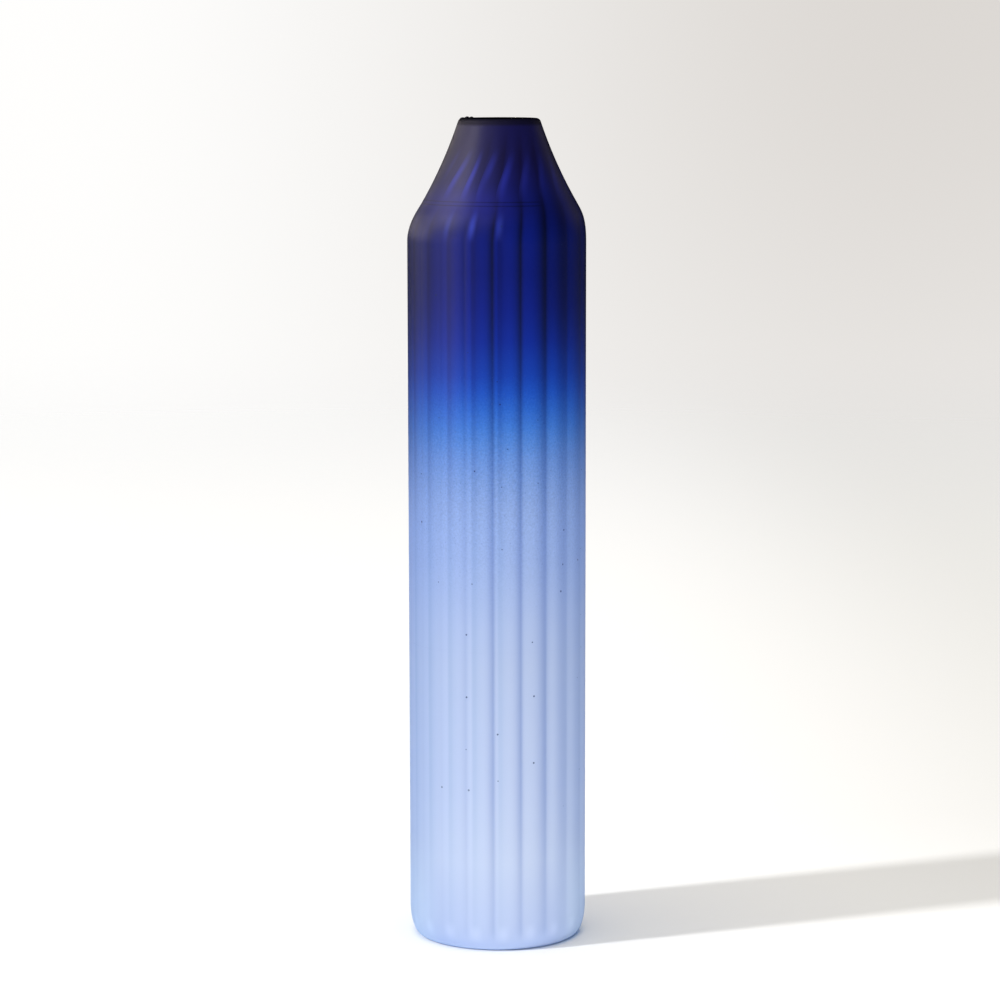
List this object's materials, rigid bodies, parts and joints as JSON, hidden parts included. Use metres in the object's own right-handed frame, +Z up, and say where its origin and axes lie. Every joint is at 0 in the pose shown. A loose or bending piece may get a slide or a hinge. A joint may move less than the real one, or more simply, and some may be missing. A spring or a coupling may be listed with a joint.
{
  "type": "glass bud vase",
  "caption": "Tall slim ribbed glass bud vase with a hollow-sided neck, a small mouth and a sprayed finish fading from navy to pale blue.",
  "frame": {"origin": "centre of the foot, on the surface that the vase stands on", "axes": "+Z up along the body's axis, -Y the side that the picture shows, +X to the right of it"},
  "size_m": [0.0648, 0.0648, 0.3],
  "materials": {
    "clear_glass": "clear, fire-polished, smooth outside and ribbed inside",
    "frost_lacquer": "satin translucent spray lacquer, pale periwinkle, with a few overspray specks",
    "navy_lacquer": "satin translucent spray lacquer, deep navy at the neck, feathered into royal blue and out"
  },
  "bodies": {
    "root": {"glass_vessel": "clear_glass", "frost_coat": "frost_lacquer", "ombre_coat": "navy_lacquer"}
  },
  "joints": []
}
